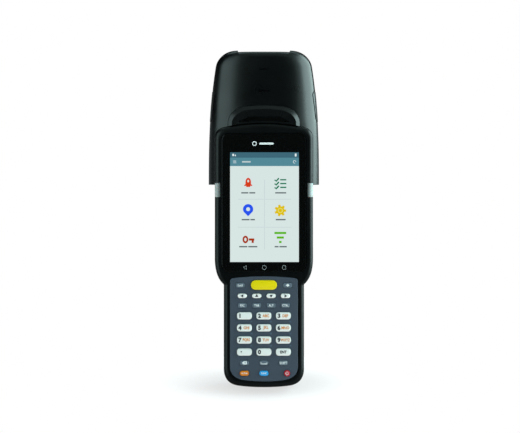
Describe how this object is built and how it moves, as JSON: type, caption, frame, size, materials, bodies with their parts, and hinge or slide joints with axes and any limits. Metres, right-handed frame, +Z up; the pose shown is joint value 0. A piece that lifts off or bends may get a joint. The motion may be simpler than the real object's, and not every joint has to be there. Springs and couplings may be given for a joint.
{
  "type": "handheld data terminal with tag reader",
  "caption": "Rugged handheld data terminal with a touch display, a keypad, a wide antenna head, and a pistol grip whose battery slides out.",
  "frame": {"origin": "centre of the bounding box at its base: the terminal stands on the heel of its keypad end and the foot of its battery, both at z = 0, leaning back 16 degrees", "axes": "+Z up, towards the antenna head; the display and the keypad face -Y and the pistol grip points to +Y and down; +X is to the right of someone who looks at the display"},
  "size_m": [0.0856, 0.1792, 0.2504],
  "materials": {
    "shell_black": "fine matte with a soft sheen",
    "bumper_rubber": "matte",
    "cover_glass": "polished, dark tint",
    "display": "lit panel under the glass",
    "fascia": "satin blue-grey",
    "key_white": "satin",
    "key_grey": "satin blue-grey",
    "key_yellow": "satin",
    "key_orange": "satin",
    "key_blue": "satin",
    "key_red": "satin",
    "light_pipe": "frosted, slightly translucent",
    "circuit_board": "solder mask",
    "steel": "plain",
    "magnesium": "as cast",
    "contact_brass": "plated",
    "inner_grey": "plain",
    "scan_window": "polished, deep red tint",
    "trigger_grey": "satin",
    "latch_grey": "satin"
  },
  "bodies": {
    "terminal": {"front_housing": "shell_black", "rear_housing": "shell_black", "touch_glass": "cover_glass", "lcd_panel": "display", "keypad_fascia": "fascia", "keypad_board": "circuit_board", "chassis_frame": "magnesium", "main_board": "circuit_board", "dock_contacts": "contact_brass", "speaker": "steel", "light_pipe_left": "light_pipe", "light_pipe_right": "light_pipe", "top_bumper": "bumper_rubber", "rear_screw_1": "steel", "rear_screw_2": "steel", "rear_screw_3": "steel", "rear_screw_4": "steel", "head_front_cover": "shell_black", "head_rear_cover": "shell_black", "antenna_board": "circuit_board", "rfid_module": "magnesium", "scan_engine": "inner_grey", "scan_window": "scan_window", "grip_left": "shell_black", "grip_right": "shell_black", "trigger_pin": "steel", "trigger_switch": "inner_grey"},
    "trigger": {"trigger": "trigger_grey"},
    "battery": {"battery_pack": "shell_black"},
    "latch_left": {"battery_latch_left": "latch_grey"},
    "latch_right": {"battery_latch_right": "latch_grey"},
    "left_key": {"key_left": "key_white"},
    "up_key": {"key_up": "key_white"},
    "down_key": {"key_down": "key_white"},
    "right_key": {"key_right": "key_white"},
    "1_key": {"key_1": "key_white"},
    "2_key": {"key_2": "key_white"},
    "3_key": {"key_3": "key_white"},
    "4_key": {"key_4": "key_white"},
    "5_key": {"key_5": "key_white"},
    "6_key": {"key_6": "key_white"},
    "7_key": {"key_7": "key_white"},
    "8_key": {"key_8": "key_white"},
    "9_key": {"key_9": "key_white"},
    "point_key": {"key_point": "key_white"},
    "0_key": {"key_0": "key_white"},
    "enter_key": {"key_enter": "key_white"},
    "function_key": {"key_function": "key_grey"},
    "mode_key": {"key_mode": "key_grey"},
    "escape_key": {"key_escape": "key_grey"},
    "tab_key": {"key_tab": "key_grey"},
    "alternate_key": {"key_alternate": "key_grey"},
    "control_key": {"key_control": "key_grey"},
    "backspace_key": {"key_backspace": "key_grey"},
    "space_key": {"key_space": "key_grey"},
    "shift_key": {"key_shift": "key_grey"},
    "scan_key": {"key_scan": "key_yellow"},
    "alpha_key": {"key_alpha": "key_orange"},
    "blue_key": {"key_blue": "key_blue"},
    "power_key": {"key_power": "key_red"}
  },
  "joints": [
    {"name": "trigger_pull", "type": "hinge", "parent": "terminal", "child": "trigger", "pos_m": [0, -0.01562, 0.10057], "axis": [-1, 0, 0], "range_deg": [0, 7], "stiffness_Nm_per_rad": 0.6, "springref_deg": -4.58},
    {"name": "battery_slide", "type": "slide", "parent": "terminal", "child": "battery", "axis": [0, 0.8572, -0.515], "range_m": [0, 0.095]},
    {"name": "latch_left_press", "type": "slide", "parent": "battery", "child": "latch_left", "axis": [1, 0, 0], "range_m": [0, 0.0015], "stiffness_N_per_m": 800, "springref_m": -0.0005},
    {"name": "latch_right_press", "type": "slide", "parent": "battery", "child": "latch_right", "axis": [-1, 0, 0], "range_m": [0, 0.0015], "stiffness_N_per_m": 800, "springref_m": -0.0005},
    {"name": "press_left", "type": "slide", "parent": "terminal", "child": "left_key", "axis": [0, 0.9613, -0.2756], "range_m": [0, 0.0008], "stiffness_N_per_m": 750, "springref_m": -0.0002},
    {"name": "press_up", "type": "slide", "parent": "terminal", "child": "up_key", "axis": [0, 0.9613, -0.2756], "range_m": [0, 0.0008], "stiffness_N_per_m": 750, "springref_m": -0.0002},
    {"name": "press_down", "type": "slide", "parent": "terminal", "child": "down_key", "axis": [0, 0.9613, -0.2756], "range_m": [0, 0.0008], "stiffness_N_per_m": 750, "springref_m": -0.0002},
    {"name": "press_right", "type": "slide", "parent": "terminal", "child": "right_key", "axis": [0, 0.9613, -0.2756], "range_m": [0, 0.0008], "stiffness_N_per_m": 750, "springref_m": -0.0002},
    {"name": "press_1", "type": "slide", "parent": "terminal", "child": "1_key", "axis": [0, 0.9613, -0.2756], "range_m": [0, 0.0008], "stiffness_N_per_m": 750, "springref_m": -0.0002},
    {"name": "press_2", "type": "slide", "parent": "terminal", "child": "2_key", "axis": [0, 0.9613, -0.2756], "range_m": [0, 0.0008], "stiffness_N_per_m": 750, "springref_m": -0.0002},
    {"name": "press_3", "type": "slide", "parent": "terminal", "child": "3_key", "axis": [0, 0.9613, -0.2756], "range_m": [0, 0.0008], "stiffness_N_per_m": 750, "springref_m": -0.0002},
    {"name": "press_4", "type": "slide", "parent": "terminal", "child": "4_key", "axis": [0, 0.9613, -0.2756], "range_m": [0, 0.0008], "stiffness_N_per_m": 750, "springref_m": -0.0002},
    {"name": "press_5", "type": "slide", "parent": "terminal", "child": "5_key", "axis": [0, 0.9613, -0.2756], "range_m": [0, 0.0008], "stiffness_N_per_m": 750, "springref_m": -0.0002},
    {"name": "press_6", "type": "slide", "parent": "terminal", "child": "6_key", "axis": [0, 0.9613, -0.2756], "range_m": [0, 0.0008], "stiffness_N_per_m": 750, "springref_m": -0.0002},
    {"name": "press_7", "type": "slide", "parent": "terminal", "child": "7_key", "axis": [0, 0.9613, -0.2756], "range_m": [0, 0.0008], "stiffness_N_per_m": 750, "springref_m": -0.0002},
    {"name": "press_8", "type": "slide", "parent": "terminal", "child": "8_key", "axis": [0, 0.9613, -0.2756], "range_m": [0, 0.0008], "stiffness_N_per_m": 750, "springref_m": -0.0002},
    {"name": "press_9", "type": "slide", "parent": "terminal", "child": "9_key", "axis": [0, 0.9613, -0.2756], "range_m": [0, 0.0008], "stiffness_N_per_m": 750, "springref_m": -0.0002},
    {"name": "press_point", "type": "slide", "parent": "terminal", "child": "point_key", "axis": [0, 0.9613, -0.2756], "range_m": [0, 0.0008], "stiffness_N_per_m": 750, "springref_m": -0.0002},
    {"name": "press_0", "type": "slide", "parent": "terminal", "child": "0_key", "axis": [0, 0.9613, -0.2756], "range_m": [0, 0.0008], "stiffness_N_per_m": 750, "springref_m": -0.0002},
    {"name": "press_enter", "type": "slide", "parent": "terminal", "child": "enter_key", "axis": [0, 0.9613, -0.2756], "range_m": [0, 0.0008], "stiffness_N_per_m": 750, "springref_m": -0.0002},
    {"name": "press_function", "type": "slide", "parent": "terminal", "child": "function_key", "axis": [0, 0.9613, -0.2756], "range_m": [0, 0.0008], "stiffness_N_per_m": 750, "springref_m": -0.0002},
    {"name": "press_mode", "type": "slide", "parent": "terminal", "child": "mode_key", "axis": [0, 0.9613, -0.2756], "range_m": [0, 0.0008], "stiffness_N_per_m": 750, "springref_m": -0.0002},
    {"name": "press_escape", "type": "slide", "parent": "terminal", "child": "escape_key", "axis": [0, 0.9613, -0.2756], "range_m": [0, 0.0008], "stiffness_N_per_m": 750, "springref_m": -0.0002},
    {"name": "press_tab", "type": "slide", "parent": "terminal", "child": "tab_key", "axis": [0, 0.9613, -0.2756], "range_m": [0, 0.0008], "stiffness_N_per_m": 750, "springref_m": -0.0002},
    {"name": "press_alternate", "type": "slide", "parent": "terminal", "child": "alternate_key", "axis": [0, 0.9613, -0.2756], "range_m": [0, 0.0008], "stiffness_N_per_m": 750, "springref_m": -0.0002},
    {"name": "press_control", "type": "slide", "parent": "terminal", "child": "control_key", "axis": [0, 0.9613, -0.2756], "range_m": [0, 0.0008], "stiffness_N_per_m": 750, "springref_m": -0.0002},
    {"name": "press_backspace", "type": "slide", "parent": "terminal", "child": "backspace_key", "axis": [0, 0.9613, -0.2756], "range_m": [0, 0.0008], "stiffness_N_per_m": 750, "springref_m": -0.0002},
    {"name": "press_space", "type": "slide", "parent": "terminal", "child": "space_key", "axis": [0, 0.9613, -0.2756], "range_m": [0, 0.0008], "stiffness_N_per_m": 750, "springref_m": -0.0002},
    {"name": "press_shift", "type": "slide", "parent": "terminal", "child": "shift_key", "axis": [0, 0.9613, -0.2756], "range_m": [0, 0.0008], "stiffness_N_per_m": 750, "springref_m": -0.0002},
    {"name": "press_scan", "type": "slide", "parent": "terminal", "child": "scan_key", "axis": [0, 0.9613, -0.2756], "range_m": [0, 0.0008], "stiffness_N_per_m": 750, "springref_m": -0.0002},
    {"name": "press_alpha", "type": "slide", "parent": "terminal", "child": "alpha_key", "axis": [0, 0.9613, -0.2756], "range_m": [0, 0.0008], "stiffness_N_per_m": 750, "springref_m": -0.0002},
    {"name": "press_blue", "type": "slide", "parent": "terminal", "child": "blue_key", "axis": [0, 0.9613, -0.2756], "range_m": [0, 0.0008], "stiffness_N_per_m": 750, "springref_m": -0.0002},
    {"name": "press_power", "type": "slide", "parent": "terminal", "child": "power_key", "axis": [0, 0.9613, -0.2756], "range_m": [0, 0.0008], "stiffness_N_per_m": 750, "springref_m": -0.0002}
  ]
}
